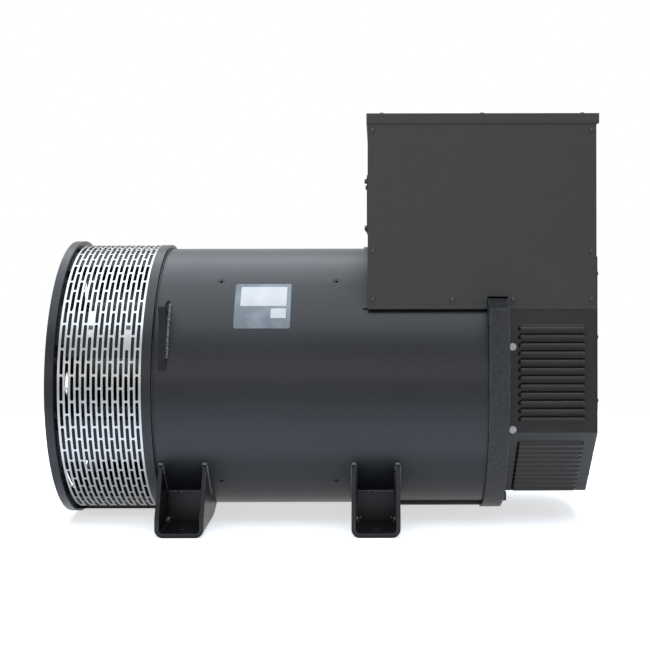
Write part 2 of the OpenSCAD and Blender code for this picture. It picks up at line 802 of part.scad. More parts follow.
// Everything of the machine below the box, with room around it
module under_box() {
  barrel_envelope(0.6);
  ring(nde_r + 0.8, 0, barrel_x1 - run_gap, nde_x1 + run_gap);
  for (s = [0, 1]) mirror([0, s, 0])
    translate([barrel_x1 - run_gap, -nde_r - 10, box_bot - 30]) cube([nde_t + 2 * run_gap, 60, lug_top + 8 - box_bot + 30]);
}

module box_frame() {
  w = wall_half;
  x0 = box_x + sheet;
  x1 = box_x1 - sheet;
  color([0.17, 0.17, 0.17])
  difference() {
    union() {
      // rim that carries the lid
      difference() {
        translate([x0, -w, rim_z - post]) cube([x1 - x0, 2 * w, post]);
        translate([x0 + sheet, -w + sheet, rim_z - post - 1]) cube([x1 - x0 - 2 * sheet, 2 * (w - sheet), post - 1]);
        translate([x0 + post, -w + post, rim_z - post - 1]) cube([x1 - x0 - 2 * post, 2 * (w - post), post + 2]);
      }
      // corner posts and the rails along the bottom edges
      for (s = [0, 1]) mirror([0, s, 0]) {
        difference() {
          translate([x0, -w, floor_z + sheet + 0.4]) cube([post, post, rim_z - floor_z - 2 * sheet]);
          translate([x0 + sheet, -w + sheet, floor_z]) cube([post, post, rim_z - floor_z - sheet]);
        }
        difference() {
          translate([x1 - post, -w, floor_z + sheet + 0.4]) cube([post, post, rim_z - floor_z - 2 * sheet]);
          translate([x1 - post - sheet, -w + sheet, floor_z]) cube([post, post, rim_z - floor_z - sheet]);
        }
        translate([x0 + 1, -w, floor_z + sheet + 0.4]) cube([x1 - x0 - 2, sheet, 32]);
      }
    }
    under_box();
    panel_screw_places() translate([0, 0, -8]) cylinder(r = 2.3, h = 10, $fn = 16);
    lid_screw_places() translate([0, 0, -20]) cylinder(r = 2.3, h = 24, $fn = 16);
    hood_screw_places() translate([0, 0, -12]) cylinder(r = 2.3, h = 14, $fn = 16);
  }
}

module box_wall_drive() {
  color([0.17, 0.17, 0.165])
  difference() {
    translate([box_x, -wall_half, box_bot]) cube([sheet, 2 * wall_half, rim_z - box_bot]);
    barrel_envelope(0.6);
    translate([box_x - 1, -gland_half + 30, gland_z - gland_h / 2 + 10.4]) cube([sheet + 2, 2 * gland_half - 60, gland_h - 26]);
    gland_bolt_places() translate([0, 0, -12]) cylinder(r = 2.7, h = 14, $fn = 16);
  }
}

module box_wall_rear() {
  color([0.17, 0.17, 0.165])
  difference() {
    translate([box_x1 - sheet, -wall_half, floor_z + sheet + 0.2])
      cube([sheet, 2 * wall_half, rim_z - floor_z - sheet - 0.2]);
    hood_screw_places() translate([0, 0, -10]) cylinder(r = 2.3, h = 12, $fn = 16);
  }
}

// Screw places on both side panels, +Z pointing outwards
module panel_screw_places() {
  for (s = [0, 1]) mirror([0, s, 0]) translate([0, -box_half, 0]) rotate([90, 0, 0]) {
    for (x = [box_x + screw_in, box_x1 - screw_in], z = [screw_low, screw_mid, screw_high])
      translate([x, z, 0]) children();
    for (x = [barrel_x1 - 66, nde_x1 + 11]) translate([x, screw_low, 0]) children();
  }
}

module box_side() {
  color([0.2, 0.2, 0.195])
  difference() {
    union() {
      translate([box_x, -box_half, box_bot]) cube([box_len, sheet, rim_z - box_bot]);
      // folded hem along the bottom edge
      translate([box_x, -box_half - 1.2, box_bot]) cube([box_len, 1.4, 7.6]);
    }
    translate([barrel_x1 - run_gap, -box_half - 3, box_bot - 1])
      cube([nde_t + 2 * run_gap, sheet + 6, lug_top + 8 - box_bot]);
    panel_screw_places() translate([0, 0, -6]) cylinder(r = 2.3, h = 8, $fn = 16);
  }
}
module box_panel_front() { box_side(); }
module box_panel_back() { mirror([0, 1, 0]) box_side(); }

module box_lid() {
  o = box_half + sheet + 0.2;
  x0 = box_x - 0.2 - sheet;
  x1 = box_x1 + lid_over;
  color([0.2, 0.2, 0.195])
  difference() {
    translate([x0, -o, box_top - lid_skirt]) cube([x1 - x0, 2 * o, lid_skirt]);
    translate([x0 + sheet, -o + sheet, box_top - lid_skirt - 1])
      cube([x1 - x0 - 2 * sheet, 2 * (o - sheet), lid_skirt + 1 - sheet]);
    lid_screw_places() translate([0, 0, -6]) cylinder(r = 2.3, h = 8, $fn = 16);
  }
}

module lid_gasket() {
  g = wall_half - 1;
  color([0.05, 0.05, 0.05])
  difference() {
    translate([box_x + 3, -g, rim_z]) cube([box_len - 6, 2 * g, gasket_t]);
    translate([box_x + 20, -g + 17, rim_z - 1]) cube([box_len - 40, 2 * g - 34, gasket_t + 2]);
    lid_screw_places() translate([0, 0, -8]) cylinder(r = 2.3, h = 10, $fn = 16);
  }
}

module lid_screw_places() {
  for (s = [-1, 1], k = [-1, 0, 1])
    translate([box_x + box_len / 2 + 1 + k * (box_len / 2 - lid_screw_end), s * (box_half - 12), box_top]) children();
}
// Screws of the lid, the side panels and the rear cover, all with one head
module cover_screws() {
  color([0.16, 0.16, 0.16]) {
    lid_screw_places() panel_screw(screw_r, 16);
    panel_screw_places() panel_screw(screw_r, 5);
    hood_screw_places() panel_screw(screw_r, 8);
  }
}

module box_floor() {
  color([0.15, 0.15, 0.15])
  difference() {
    translate([hood_x0, -hood_half + sheet + 0.4, floor_z])
      cube([box_x1 - sheet - hood_x0 - 0.2, 2 * (hood_half - sheet - 0.4), sheet]);
    translate([hood_x0 + 60, -60, floor_z - 1]) cube([60, 120, sheet + 2]);
  }
}

module box_saddle() {
  a = acos(box_bot / barrel_r);
  color([0.12, 0.12, 0.13])
  difference() {
    arc_ring(barrel_r + seat + 3, barrel_r + seat, box_x - 9, box_x, 180 - a, 180 + a, 180);
    translate([box_x - 20, -400, 0]) cube([40, 800, box_bot - 0.6]);
  }
}

gland_z = barrel_r + 86.6;
module gland_bolt_places() {
  for (y = [-gland_half + 15, gland_half - 15], z = [-gland_h / 2 + 11, gland_h / 2 - 11])
    translate([box_x - sheet, y, gland_z + z]) rotate([0, -90, 0]) children();
}
module gland_plate() {
  color([0.14, 0.14, 0.14])
  difference() {
    translate([box_x - sheet, -gland_half, gland_z - gland_h / 2]) cube([sheet, 2 * gland_half, gland_h]);
    gland_bolt_places() translate([0, 0, -4]) cylinder(r = 2.7, h = 6, $fn = 16);
  }
}
module gland_bolts() {
  color([0.1, 0.1, 0.1])
  gland_bolt_places() {
    cylinder(r = 5, h = 4.5, $fn = 6);
    translate([0, 0, -8]) cylinder(r = 2.5, h = 9, $fn = 16);
  }
}

// ---- inside the terminal box ---------------------------------------------

stand_z = barrel_r + 58;
stand_x = box_x + 24;
module terminal_stand() {
  color([0.3, 0.3, 0.3])
  difference() {
    translate([stand_x, -stand_half, barrel_r - 40]) cube([70, 2 * stand_half, stand_z + 40 - barrel_r]);
    translate([stand_x - 1, -stand_half + 3, barrel_r - 41]) cube([72, 2 * stand_half - 6, stand_z + 38 - barrel_r]);
    barrel_envelope(seat);
  }
}
module terminal_board() {
  color([0.75, 0.72, 0.6])
  difference() {
    translate([stand_x + 6, -104, stand_z]) cube([58, 208, 16]);
    for (y = [-68 : 34 : 68]) translate([stand_x + 5, y - 1.5, stand_z + 12]) cube([60, 3, 5]);
  }
}
module terminal_studs() {
  color([0.78, 0.62, 0.3])
  for (y = [-85, -51, -17, 17, 51, 85], x = [18, 52])
    translate([stand_x + x, y, stand_z + 16]) {
      cylinder(r = 9, h = 6, $fn = 6);
      cylinder(r = 5, h = 30, $fn = 20);
    }
}
module regulator() {
  x = box_x1 - sheet;
  color([0.12, 0.14, 0.16])
  difference() {
    translate([x - 44, -90, 300]) cube([44, 180, 120]);
    for (k = [0 : 10]) translate([x - 45, -84 + k * 16, 299]) cube([16, 8, 122]);
  }
}

// ---- air inlet hood ------------------------------------------------------

// Cross-section of a louvre's hood: out is away from the sheet
module louvre_outer() {
  h = louvre_h / 2;
  polygon([[0, h], [louvre_out * 0.72, h - 3.4], [louvre_out, h - 5.2], [louvre_out, -h], [0, -h]]);
}
module louvre_inner() {
  h = louvre_h / 2;
  w = 1.2;
  polygon([[0, h - 1.6], [louvre_out * 0.72 - w, h - 4.6], [louvre_out - w, h - 6], [louvre_out - w, -h - 1], [0, -h - 1]]);
}
// Louvre along X, out along +Y, its open side down
module louvre_form() {
  half = louvre_l / 2 - louvre_out;
  translate([-half, 0, 0]) rotate([90, 0, 90]) linear_extrude(2 * half) children();
  for (s = [0, 1]) mirror([s, 0, 0]) translate([half, 0, 0])
    rotate_extrude(angle = 90, $fn = 24) children();
}
module louvre_opening() {
  half = louvre_l / 2 - louvre_out;
  translate([-half, -sheet - 1, -louvre_h / 2]) cube([2 * half, sheet + 1.01, louvre_h - 2.6]);
}

module side_louvre_places() {
  for (k = [0 : side_louvres - 1])
    translate([(hood_x0 + box_x1) / 2 + 0.7, hood_half, side_first - k * side_pitch]) children();
}
module slope_louvre_places() {
  run = sqrt(pow(hood_z - fold_z, 2) + pow(hood_half - hood_floor, 2));
  first = run / 2 + 10.5 - (slope_louvres - 1) * slope_pitch / 2;
  for (k = [0 : slope_louvres - 1])
    translate([(hood_x0 + box_x1) / 2 + 0.7, hood_half, -fold_z]) rotate([slope - 90, 0, 0])
      translate([0, 0, -first - k * slope_pitch]) children();
}

// Height by which the inner face of the fold is above the outer one
fold_in = sheet * (1 - sin(slope)) / cos(slope);
module hood_inside(depth) {
  polygon([[-hood_half + depth, box_bot], [-hood_half + depth, -fold_z + depth * (1 - sin(slope)) / cos(slope)],
           [-hood_floor + depth * sin(slope), -hood_z + depth * cos(slope)],
           [0, -hood_z + depth * cos(slope)], [0, box_bot]]);
}
module hood_section(depth) {
  d_in = depth * (1 - sin(slope)) / cos(slope);
  polygon([[hood_half, floor_z - 0.2], [hood_half, -fold_z], [hood_floor, -hood_z],
           [hood_floor - depth * sin(slope), -hood_z + depth * cos(slope)],
           [hood_half - depth, -fold_z + d_in], [hood_half - depth, floor_z - 0.2]]);
}

module hood_side() {
  color([0.21, 0.21, 0.21])
  difference() {
    union() {
      plate(hood_x0, box_x1) hood_section(sheet);
      // flange that the rear cover is screwed to
      plate(box_x1 - sheet, box_x1) hood_section(16);
      side_louvre_places() louvre_form() louvre_outer();
      slope_louvre_places() louvre_form() louvre_outer();
    }
    side_louvre_places() { louvre_form() louvre_inner(); louvre_opening(); }
    slope_louvre_places() { louvre_form() louvre_inner(); louvre_opening(); }
    mirror([0, 1, 0]) hood_bolt_places() translate([0, 0, -6]) cylinder(r = 4.6, h = 8, $fn = 24);
    hood_screw_places() translate([0, 0, -10]) cylinder(r = 2.3, h = 12, $fn = 16);
  }
}
module hood_side_back() { hood_side(); }
module hood_side_front() { mirror([0, 1, 0]) hood_side(); }

module hood_floor_plate() {
  w = hood_floor - sheet * sin(slope) - 0.3;
  color([0.2, 0.2, 0.2])
  translate([hood_x0, -w, -hood_z]) cube([box_x1 - sheet - hood_x0 - 0.3, 2 * w, sheet]);
}

// Screws of the rear cover, +Z pointing to the rear
module hood_screw_places() {
  side = hood_half - cover_screw_in;
  low = hood_half - slope_screw * (hood_half - hood_floor) / (hood_z - fold_z) - 13.7647;
  for (s = [-1, 1], p = [[side, 212], [side, 91], [side, -30], [low, -fold_z - slope_screw]])
    translate([box_x1 + sheet, s * p[0], p[1]]) rotate([0, 90, 0]) children();
}

// Side bolts of the hood, on the front and back; +Z pointing outwards
module hood_bolt_places() {
  for (s = [0, 1], z = hood_bolt_z) mirror([0, s, 0])
    translate([nde_x1 + hood_bolt_x, -hood_half, z]) rotate([90, 0, 0]) children();
}
module hood_bolts() {
  color([0.5, 0.51, 0.53])
  hood_bolt_places() {
    cylinder(r = 7.2, h = 1.6, $fn = 24);
    cylinder(r = 6.9, h = 5.4, $fn = 6);
    translate([0, 0, -16]) cylinder(r = 4, h = 17, $fn = 20);
  }
}
module hood_rear_cover() {
  top = floor_z + 97;
  w = hood_half;
  color([0.19, 0.19, 0.19])
  difference() {
    plate(box_x1, box_x1 + sheet)
      polygon([[-w, top], [-w, -fold_z], [-hood_floor, -hood_z], [hood_floor, -hood_z],
               [w, -fold_z], [w, top]]);
    hood_screw_places() translate([0, 0, -4]) cylinder(r = 2.3, h = 6, $fn = 16);
  }
}

// ---- rotor ---------------------------------------------------------------

module shaft() {
  color([0.6, 0.6, 0.62])
  rotate([0, 90, 0]) rotate_extrude($fn = 96)
    polygon([[0, disc_x1 + 2], [shaft_r - 8, disc_x1 + 2], [shaft_r - 6, disc_x1 + 4],
             [shaft_r - 6, hub_x1 + 52], [shaft_r, hub_x1 + 52], [shaft_r, core_x1 + 20],
             [shaft_r - 14, core_x1 + 20], [shaft_r - 14, brg_x0], [brg_in, brg_x0],
             [brg_in, brg_x1 + 4], [brg_in - 4, brg_x1 + 4], [brg_in - 4, exc_x1 + 34],
             [brg_in - 6, exc_x1 + 36], [0, exc_x1 + 36]]);
}

module pole_section() {
  difference() {
    union() {
      circle(r = shaft_r + 24, $fn = 96);
      for (k = [0 : 3]) rotate(k * 90) {
        translate([-pole_half, 0]) square([2 * pole_half, shoe_in + 2]);
        intersection() {
          circle(r = rotor_r, $fn = 180);
          translate([-shoe_half, shoe_in]) square([2 * shoe_half, rotor_r]);
        }
      }
    }
    circle(r = shaft_r + slip, $fn = 96);
    // damper bar holes in the pole faces
    for (k = [0 : 3], j = [-2 : 2]) rotate(k * 90 + j * 11) translate([0, rotor_r - 9]) circle(r = 4.5, $fn = 20);
  }
}
module rotor_core() {
  color([0.32, 0.31, 0.3]) plate(core_x, core_x1) pole_section();
}

module field_coils() {
  o = pole_half + coil_t;
  r0 = pole_half + coil_t + 4;
  r1 = shoe_in - 1;
  color([0.55, 0.22, 0.1])
  for (k = [0 : 3]) rotate([k * 90, 0, 0]) difference() {
    union() {
      translate([core_x - coil_over, -o + 12, r0]) cube([core_len + 2 * coil_over, 2 * o - 24, r1 - r0]);
      translate([core_x - coil_over + 12, -o, r0]) cube([core_len + 2 * coil_over - 24, 2 * o, r1 - r0]);
      for (x = [core_x - coil_over + 12, core_x1 + coil_over - 12], y = [-o + 12, o - 12])
        translate([x, y, r0]) cylinder(r = 12, h = r1 - r0, $fn = 32);
    }
    translate([core_x - 3, -pole_half - 0.5, r0 - 1]) cube([core_len + 6, 2 * pole_half + 1, r1 - r0 + 2]);
  }
}

module damper_rings() {
  color([0.6, 0.35, 0.2])
  for (s = [0, 1]) translate([core_x + s * core_len, 0, 0]) mirror([s == 0 ? 1 : 0, 0, 0]) {
    ring(rotor_r - 2, rotor_r - 7.8, 0, 8);
  }
}

module coupling_hub() {
  color([0.25, 0.25, 0.27])
  difference() {
    union() {
      ring(hub_r, 0, disc_x1, hub_x1);
      ring(80, 0, disc_x1, hub_x1 + 50);
    }
    ring(shaft_r - 6 + slip, 0, disc_x1 - 1, hub_x1 + 51);
    coupling_bolt_places() cylinder(r = 6.4, h = 80, center = true, $fn = 24);
    for (k = [0 : 5]) rod_at(102, k * 60, 5, hub_x1 - 25, hub_x1 + 1);
  }
}
module coupling_bolt_places() {
  for (k = [0 : 7]) rotate([22.5 + k * 45, 0, 0])
    translate([disc_set - clamp_t, 0, 92]) rotate([0, 90, 0]) children();
}
module drive_discs() {
  color([0.5, 0.5, 0.52])
  difference() {
    ring(disc_r, shaft_r - 4, disc_set, disc_x1, 180);
    for (k = [0 : 7]) rod_at(disc_hole_r, 22.5 + k * 45, disc_hole_d / 2, disc_set - 1, disc_x1 + 1);
    for (k = [0 : 7]) rod_at(170, k * 45, 24, disc_set - 1, disc_x1 + 1, 48);
    coupling_bolt_places() cylinder(r = 6.4, h = 80, center = true, $fn = 24);
  }
}
module disc_clamp() {
  color([0.3, 0.3, 0.32])
  difference() {
    ring(hub_r, shaft_r - 4, disc_set - clamp_t, disc_set);
    coupling_bolt_places() cylinder(r = 6.4, h = 80, center = true, $fn = 24);
  }
}
module coupling_bolts() {
  color([0.15, 0.15, 0.16])
  for (k = [0 : 7]) hex_bolt(92, 22.5 + k * 45, disc_set - clamp_t, 12, clamp_t + disc_t + 24, -1);
}

module fan_blade_section() {
  intersection() {
    translate([fan_r * 0.6, 0]) difference() {
      circle(r = fan_r * 0.52 + blade_t / 2, $fn = 96);
      circle(r = fan_r * 0.52 - blade_t / 2, $fn = 96);
    }
    difference() {
      circle(r = fan_r - 1, $fn = 120);
      circle(r = fan_r * 0.55, $fn = 96);
    }
    translate([0, 0]) square([fan_r, fan_r]);
  }
}
module fan() {
  color([0.62, 0.63, 0.65])
  difference() {
    union() {
      ring(fan_r, 0, fan_x0, fan_x0 + fan_plate, 180);
      ring(92, 0, fan_x0, fan_x0 + 34);
      for (k = [0 : blade_n - 1]) rotate([k * 360 / blade_n, 0, 0])
        plate(blade_x0 - 1, blade_x0 + blade_l) fan_blade_section();
      ring(fan_r, fan_r - 34, blade_x0 + blade_l - 1, blade_x0 + blade_l + 3, 180);
    }
    ring(80 + seat, 0, fan_x0 - 1, fan_x0 + 40);
    for (k = [0 : 5]) rod_at(102, k * 60, 5, fan_x0 - 1, fan_x0 + fan_plate + 1);
  }
}
module fan_bolts() {
  color([0.5, 0.5, 0.52])
  for (k = [0 : 5]) hex_bolt(102, k * 60, fan_x0 + fan_plate, 9.6, 26);
}

// ---- exciter rotor -------------------------------------------------------

module exciter_armature() {
  color([0.32, 0.31, 0.3])
  difference() {
    union() {
      ring(exc_arm_r, 0, exc_x0 + 31, exc_x1 - 7);
      ring(exc_arm_r - 12, 0, exc_x0 + 25, exc_x1 - 1);
    }
    ring(brg_in - 4 + slip, 0, exc_x0 + 20, exc_x1 + 10);
  }
}
module diode_wheel() {
  color([0.66, 0.66, 0.68])
  difference() {
    union() {
      ring(46, 0, exc_x1 + 1, exc_x1 + 24);
      ring(92, 0, exc_x1 + 7, exc_x1 + 13);
      for (k = [0 : 5]) {
        rod_at(72, k * 60, 13, exc_x1 + 12, exc_x1 + 18, 6);
        rod_at(72, k * 60, 8, exc_x1 + 12, exc_x1 + 27, 20);
      }
      for (k = [0 : 1]) rod_at(70, 30 + k * 180, 11, exc_x1 + 12, exc_x1 + 22, 24);
    }
    ring(brg_in - 4 + slip, 0, exc_x1 - 1, exc_x1 + 30);
  }
}

adaptor_flange();
adaptor_webs();
adaptor_ring();
air_screen();
screen_fixings();
barrel();
belly_plate();
adaptor_bolts();
feet_drive_end();
feet_rear();
foot_gussets();
lifting_lugs();
core_screws();
stator_core();
stator_winding();
nde_bracket();
bracket_bolts();
bearing_cap_in();
bearing_cap_out();
cap_bolts();
bearing_outer();
exciter_stator();
exciter_coils();
exciter_bolts();
box_frame();
box_wall_drive();
box_wall_rear();
box_panel_front();
box_panel_back();
box_lid();
lid_gasket();
cover_screws();
box_floor();
box_saddle();
gland_plate();
gland_bolts();
terminal_stand();
terminal_board();
terminal_studs();
regulator();
hood_side_front();
hood_side_back();
hood_floor_plate();
hood_rear_cover();
hood_bolts();
shaft();
rotor_core();
field_coils();
damper_rings();
coupling_hub();
drive_discs();
disc_clamp();
coupling_bolts();
fan();
fan_bolts();
exciter_armature();
diode_wheel();
bearing_inner();
bearing_balls();
bearing_cage();
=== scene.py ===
"""Looks of the generator alternator head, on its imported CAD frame.

The shaft axis is X, the engine flange's face is at X = 0, the rear cover is near X = 1.04, Z points
up and -Y is the side that carries the rating plate.  Lengths are metres; mm() makes them from
millimetres.
"""
import math

import bpy
import numpy as np
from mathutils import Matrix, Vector


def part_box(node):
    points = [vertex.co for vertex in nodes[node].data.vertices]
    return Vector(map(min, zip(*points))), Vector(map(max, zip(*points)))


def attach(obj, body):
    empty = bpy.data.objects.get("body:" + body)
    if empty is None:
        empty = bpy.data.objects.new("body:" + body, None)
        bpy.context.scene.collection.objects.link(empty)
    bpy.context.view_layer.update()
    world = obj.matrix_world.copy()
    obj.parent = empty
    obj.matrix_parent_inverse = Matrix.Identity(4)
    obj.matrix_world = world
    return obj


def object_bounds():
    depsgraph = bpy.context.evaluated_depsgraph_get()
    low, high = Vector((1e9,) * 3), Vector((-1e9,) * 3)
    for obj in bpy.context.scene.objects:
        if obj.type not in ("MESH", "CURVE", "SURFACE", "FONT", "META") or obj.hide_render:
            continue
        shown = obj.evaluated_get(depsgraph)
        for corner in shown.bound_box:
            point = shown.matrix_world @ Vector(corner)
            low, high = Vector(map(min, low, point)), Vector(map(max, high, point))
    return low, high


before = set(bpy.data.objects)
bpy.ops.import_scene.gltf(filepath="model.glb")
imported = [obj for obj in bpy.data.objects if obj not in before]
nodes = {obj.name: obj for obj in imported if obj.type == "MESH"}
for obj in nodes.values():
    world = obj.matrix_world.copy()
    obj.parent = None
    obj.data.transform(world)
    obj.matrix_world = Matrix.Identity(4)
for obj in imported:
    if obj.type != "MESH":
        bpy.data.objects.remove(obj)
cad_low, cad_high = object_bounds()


def mm(value):
    """Millimetres to metres."""
    return value * 0.001


def degrees(*values):
    """Degrees to radians, one for each value."""
    return tuple(math.radians(value) for value in values)


# ---------------------------------------------------------------- materials

# paler tones painted along corners of steel and casting: paint worn thin, and a painted highlight on
# the edges
edge_rub_and_highlight = (0.16, 0.16, 0.165)
casting_rub_and_highlight = (0.17, 0.175, 0.19)
spatter_tone = (0.26, 0.263, 0.27)


class Finish:
    """One node material: a Principled shader plus short helpers that add and join nodes."""

    def __init__(self, name, colour, roughness, metallic=0.0, specular=0.5):
        self.material = bpy.data.materials.new(name)
        self.material.use_nodes = True
        self.tree = self.material.node_tree
        self.skin = self.tree.nodes["Principled BSDF"]
        self.skin.inputs["Base Color"].default_value = (*colour, 1.0)
        self.skin.inputs["Roughness"].default_value = roughness
        self.skin.inputs["Metallic"].default_value = metallic
        self.skin.inputs["Specular IOR Level"].default_value = specular
        self.place = self.tree.nodes.new("ShaderNodeTexCoord").outputs["Object"]

    def node(self, kind, **settings):
        made = self.tree.nodes.new(kind)
        for key, value in settings.items():
            setattr(made, key, value)
        return made

    def join(self, source, target):
        self.tree.links.new(source, target)

    def stretched(self, scale):
        """Object coordinates multiplied by a scale along each axis."""
        m = self.node("ShaderNodeMapping")
        m.inputs["Scale"].default_value = scale
        self.join(self.place, m.inputs["Vector"])
        return m.outputs["Vector"]

    def noise(self, scale, detail=3.0, rough=0.55, where=None):
        n = self.node("ShaderNodeTexNoise")
        n.inputs["Scale"].default_value = scale
        n.inputs["Detail"].default_value = detail
        n.inputs["Roughness"].default_value = rough
        self.join(where or self.place, n.inputs["Vector"])
        return n.outputs["Fac"]

    def cells(self, scale):
        n = self.node("ShaderNodeTexVoronoi")
        n.inputs["Scale"].default_value = scale
        self.join(self.place, n.inputs["Vector"])
        return n.outputs["Distance"]

    def greys(self, value, first, second):
        """Grey ramp between two stops, each (position, grey)."""
        r = self.node("ShaderNodeValToRGB")
        self.join(value, r.inputs["Fac"])
        for stop, (at, grey) in zip(r.color_ramp.elements, (first, second)):
            stop.position = at
            stop.color = (grey, grey, grey, 1)
        return r.outputs["Color"]

    def spread(self, value, low, high, from_low=0.3, from_high=0.7):
        """Maps from_low..from_high onto low..high and stops at both ends."""
        m = self.node("ShaderNodeMapRange")
        m.inputs["From Min"].default_value = from_low
        m.inputs["From Max"].default_value = from_high
        m.inputs["To Min"].default_value = low
        m.inputs["To Max"].default_value = high
        self.join(value, m.inputs["Value"])
        return m.outputs["Result"]

    def blend(self, factor, first, second, how="MIX"):
        """Mix of two colours, each a tuple or a socket."""
        m = self.node("ShaderNodeMix", data_type="RGBA", blend_type=how)
        for key, c in (("A", first), ("B", second)):
            socket = [s for s in m.inputs if s.name == key and s.type == "RGBA"][0]
            if isinstance(c, tuple):
                socket.default_value = (*c, 1)
            else:
                self.join(c, socket)
        share = [s for s in m.inputs if s.name == "Factor" and s.type == "VALUE"][0]
        if isinstance(factor, float):
            share.default_value = factor
        else:
            self.join(factor, share)
        return [s for s in m.outputs if s.type == "RGBA"][0]

    def product(self, first, second):
        m = self.node("ShaderNodeMath", operation="MULTIPLY")
        self.join(first, m.inputs[0])
        self.join(second, m.inputs[1])
        return m.outputs[0]

    def bump(self, height, depth, strength=1.0):
        """Relief of the given depth in metres; a second call stands on the first."""
        b = self.node("ShaderNodeBump")
        b.inputs["Strength"].default_value = strength
        b.inputs["Distance"].default_value = depth
        self.join(height, b.inputs["Height"])
        before = self.skin.inputs["Normal"]
        if before.is_linked:
            self.join(before.links[0].from_socket, b.inputs["Normal"])
        self.join(b.outputs["Normal"], before)

    def soft_edge(self, radius):
        """Corners shade as if rounded to this radius in metres.  It comes before any bump, and
        returns how close a point is to a corner, 0 to 1."""
        corner = self.node("ShaderNodeBevel", samples=4)
        corner.inputs["Radius"].default_value = radius
        dot = self.node("ShaderNodeVectorMath", operation="DOT_PRODUCT")
        self.join(corner.outputs["Normal"], dot.inputs[0])
        self.join(self.node("ShaderNodeNewGeometry").outputs["Normal"], dot.inputs[1])
        self.join(corner.outputs["Normal"], self.skin.inputs["Normal"])
        return self.spread(dot.outputs["Value"], 1.0, 0.0, 0.82, 0.985)

    def colour(self, socket):
        self.join(socket, self.skin.inputs["Base Color"])

    def rough(self, socket):
        self.join(socket, self.skin.inputs["Roughness"])


def painted_steel(name, dark, light, rough, grain=900.0, grain_depth=0.00002,
                  edge=0.0012, rub_and_highlight=0.0, gloss=0.28):
    """Satin paint: cloudy tone, fine orange peel, a slow change of gloss between the two values of
    rough, and corners painted paler in patches by the amount given: paint worn thin and a painted
    edge highlight."""
    f = Finish(name, dark, rough[0], specular=gloss)
    cloud = f.noise(3.2, 4.0, 0.6)
    tone = f.blend(f.spread(cloud, 0.0, 1.0, 0.35, 0.65), dark, light)
    dust = f.greys(f.noise(260.0, 2.0), (0.42, 0.93), (0.62, 1.07))
    shade = f.blend(1.0, tone, dust, "MULTIPLY")
    corner = f.soft_edge(edge)
    if rub_and_highlight:
        # corners painted paler in patches: paint worn thin, and a painted highlight along the edges
        patchy = f.spread(f.noise(70.0, 4.0, 0.7), 0.0, rub_and_highlight, 0.4, 0.62)
        shade = f.blend(f.product(corner, patchy), shade, edge_rub_and_highlight)
    f.colour(shade)
    f.rough(f.spread(cloud, *rough, 0.35, 0.65))
    f.bump(f.noise(grain, 1.5), grain_depth, 0.6)
    return f.material


def cast_paint(name, dark, light):
    """Paint over a sand-cast skin: coarse lumps, fine grit and pits; colour darker in the lumps'
    hollows and paler on their crests as painted shade and highlight, and corners painted paler as
    paint worn thin and a painted edge highlight.
    """
    f = Finish(name, dark, 0.4, specular=0.24)
    lumps = f.noise(120.0, 5.0, 0.66)
    grit = f.noise(420.0, 3.0, 0.6)
    pits = f.cells(300.0)
    tone = f.blend(f.spread(f.noise(9.0, 4.0), 0.0, 1.0, 0.35, 0.65), dark, light)
    # the lumps' own relief noise tints the colour, darker in their hollows and paler on their
    # crests: painted shade and highlight
    tone = f.blend(1.0, tone, f.greys(lumps, (0.35, 0.70), (0.65, 1.35)), "MULTIPLY")
    corner = f.soft_edge(0.0045)
    # corners painted paler in patches: paint worn thin, and a painted highlight along the edges
    patch_rub_and_highlight = f.spread(f.noise(90.0, 4.0, 0.7), 0.15, 0.6, 0.38, 0.62)
    f.colour(f.blend(f.product(corner, patch_rub_and_highlight), tone, casting_rub_and_highlight))
    f.rough(f.spread(lumps, 0.24, 0.42))
    f.bump(lumps, 0.0055, 1.0)
    f.bump(grit, 0.0013, 0.8)
    f.bump(pits, 0.0006, 0.5)
    return f.material


def weld_paint(name, colour):
    """Glossy paint over a rippled weld bead with some spatter."""
    f = Finish(name, colour, 0.24, specular=0.5)
    spatter = f.noise(520.0, 4.0, 0.65)
    f.colour(f.blend(f.spread(spatter, 0.0, 0.8, 0.46, 0.64), colour, spatter_tone))
    f.rough(f.spread(spatter, 0.2, 0.36))
    f.bump(spatter, 0.0009, 0.8)
    return f.material


def foil(name, colour):
    """Metal foil: brushed along the shaft, with a soft change of tone."""
    f = Finish(name, colour, 0.36, 0.55)
    streaks = f.noise(30.0, 3.0, where=f.stretched((4, 90, 90)))
    dark = tuple(c * 0.62 for c in colour)
    f.colour(f.blend(f.spread(f.noise(26.0, 2.0), 0.0, 0.8, 0.4, 0.6), colour, dark))
    f.rough(f.spread(streaks, 0.3, 0.44))
    f.bump(streaks, 0.00003, 0.5)
    return f.material


def bare_metal(name, colour, roughness, streak=(1, 60, 60), spots=0.25, depth=0.00003):
    """Rolled or turned metal with drawn streaks and slight spangle."""
    f = Finish(name, colour, roughness, 1.0)
    streaks = f.noise(38.0, 3.0, where=f.stretched(streak))
    dull = tuple(c * 0.72 for c in colour)
    f.colour(f.blend(f.spread(f.cells(150.0), 0.0, spots, 0.1, 0.7), colour, dull))
    f.rough(f.spread(streaks, roughness * 0.8, roughness * 1.25))
    f.bump(streaks, depth, 0.4)
    return f.material


def moulded(name, colour, roughness, grain=600.0, depth=0.00004):
    """Moulded plastic, rubber or varnish with a fine even grain."""
    f = Finish(name, colour, roughness)
    grain_noise = f.noise(grain, 2.0)
    pale = tuple(min(1, c * 1.25 + 0.004) for c in colour)
    f.colour(f.blend(f.spread(f.noise(22.0), 0.0, 1.0), colour, pale))
    f.rough(f.spread(grain_noise, roughness * 0.88, roughness * 1.12))
    f.bump(grain_noise, depth, 0.5)
    return f.material


